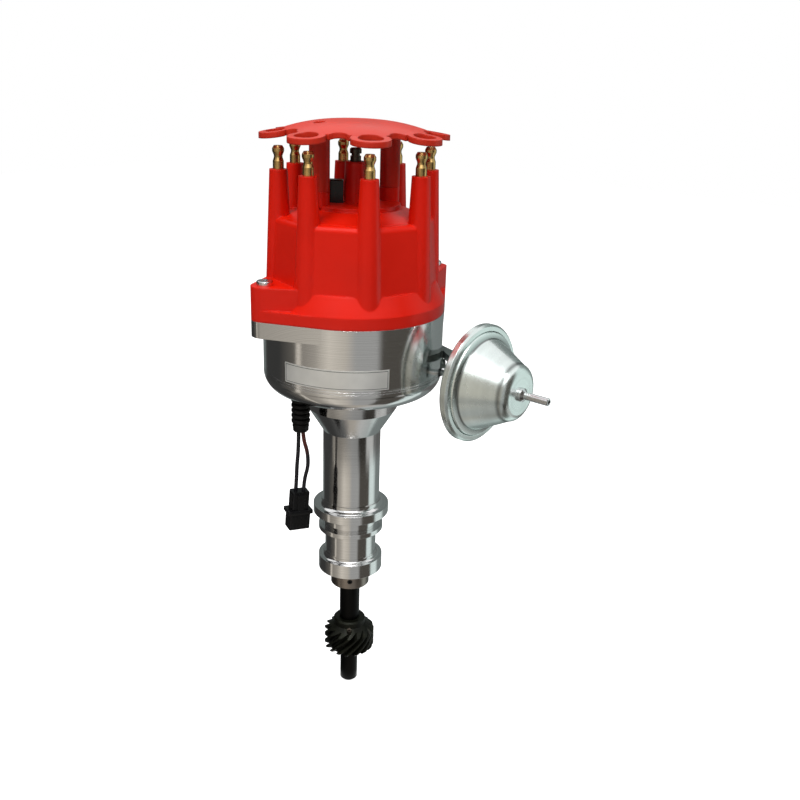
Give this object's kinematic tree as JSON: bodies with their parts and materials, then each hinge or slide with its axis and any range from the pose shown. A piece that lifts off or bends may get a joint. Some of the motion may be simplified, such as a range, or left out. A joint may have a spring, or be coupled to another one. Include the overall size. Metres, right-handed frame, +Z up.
{
  "type": "ignition distributor",
  "caption": "Engine ignition distributor with ribbed tower cap, wire retainer, turned housing, vacuum canister, signal lead, shaft and helical drive gear.",
  "frame": {"origin": "on the shaft's axis at the underside of the hold down flange, the upper end of the pilot", "axes": "+Z up along the shaft's axis to the cap, +X the way the vacuum canister's nipple points"},
  "size_m": [0.1721, 0.1254, 0.3597],
  "materials": {
    "aluminium": "polished",
    "cap_red": "moulded gloss",
    "retainer_red": "moulded gloss",
    "brass": "turned",
    "bronze": "sintered",
    "dark_brass": "darkened",
    "bright_steel": "zinc plated",
    "plated_steel": "zinc plated and passivated",
    "shaft_steel": "black oxide",
    "gear_steel": "phosphated",
    "collar_steel": "ground",
    "black_steel": "black",
    "black_plastic": "moulded",
    "rubber": "moulded",
    "lead_black": "extruded",
    "lead_brown": "extruded",
    "copper": "enamelled wire"
  },
  "bodies": {
    "housing": {"housing": "aluminium", "lower_bushing": "bronze", "thrust_washer": "plated_steel", "bearing_outer": "bright_steel", "retaining_ring": "black_steel", "plate_clips": "plated_steel", "clip_screws": "plated_steel", "cap": "cap_red", "cap_terminals": "brass", "centre_terminal": "dark_brass", "carbon_button": "black_plastic", "vent_block": "black_plastic", "cap_screws": "bright_steel", "wire_retainer": "retainer_red", "retainer_screws": "bright_steel", "canister_rear": "plated_steel", "canister_front": "plated_steel", "canister_nipple": "plated_steel", "canister_bracket": "black_steel", "bracket_screws": "black_steel", "diaphragm": "rubber", "canister_spring": "plated_steel", "grommet": "rubber", "lead_left": "lead_black", "lead_right": "lead_brown", "plug": "black_plastic", "plug_pins": "brass"},
    "shaft": {"drive_shaft": "shaft_steel", "shaft_collar": "collar_steel", "collar_pin": "black_steel", "drive_gear": "gear_steel", "gear_pin": "collar_steel", "bearing_inner": "bright_steel", "advance_cam": "plated_steel", "shaft_nut": "plated_steel"},
    "ball_cage": {"bearing_balls": "bright_steel"},
    "carrier": {"advance_carrier": "plated_steel", "reluctor": "plated_steel", "weight_pins": "bright_steel", "rotor": "cap_red", "rotor_blade": "brass", "rotor_screws": "plated_steel", "spring_a": "plated_steel", "spring_b": "plated_steel"},
    "weight_a": {"weight_a": "plated_steel"},
    "weight_b": {"weight_b": "plated_steel"},
    "plate": {"pickup_plate": "plated_steel", "lever_pin": "bright_steel", "pickup_pole": "plated_steel", "pickup_coil": "copper"},
    "rod": {"vacuum_rod": "plated_steel"}
  },
  "joints": [
    {"name": "shaft_spin", "type": "hinge", "parent": "housing", "child": "shaft", "pos_m": [0, 0, 0], "axis": [0, 0, 1], "continuous": true},
    {"name": "cage_spin", "type": "hinge", "parent": "housing", "child": "ball_cage", "pos_m": [0, 0, 0.084], "axis": [0, 0, 1], "continuous": true},
    {"name": "centrifugal_advance", "type": "hinge", "parent": "shaft", "child": "carrier", "pos_m": [0, 0, 0.108], "axis": [0, 0, 1], "range_deg": [0, 12], "stiffness_Nm_per_rad": 0.4, "deforming": ["spring_a", "spring_b"]},
    {"name": "weight_a_swing", "type": "hinge", "parent": "carrier", "child": "weight_a", "pos_m": [0.024, 0, 0.1235], "axis": [0, 0, -1], "range_deg": [0, 18]},
    {"name": "weight_b_swing", "type": "hinge", "parent": "carrier", "child": "weight_b", "pos_m": [-0.024, 0, 0.1235], "axis": [0, 0, -1], "range_deg": [0, 18]},
    {"name": "vacuum_advance", "type": "hinge", "parent": "housing", "child": "plate", "pos_m": [0, 0, 0.0925], "axis": [0, 0, -1], "range_deg": [0, 8], "stiffness_Nm_per_rad": 0.4},
    {"name": "rod_slide", "type": "slide", "parent": "housing", "child": "rod", "axis": [1, 0, 0], "range_m": [0, 0.0035], "deforming": ["diaphragm", "canister_spring"]}
  ],
  "couplings": [
    {"joint": "cage_spin", "follows": "shaft_spin", "ratio": 0.40407},
    {"joint": "weight_a_swing", "follows": "centrifugal_advance", "ratio": 1.5},
    {"joint": "weight_b_swing", "follows": "centrifugal_advance", "ratio": 1.5},
    {"joint": "rod_slide", "follows": "vacuum_advance", "m_per_rad": 0.025}
  ]
}
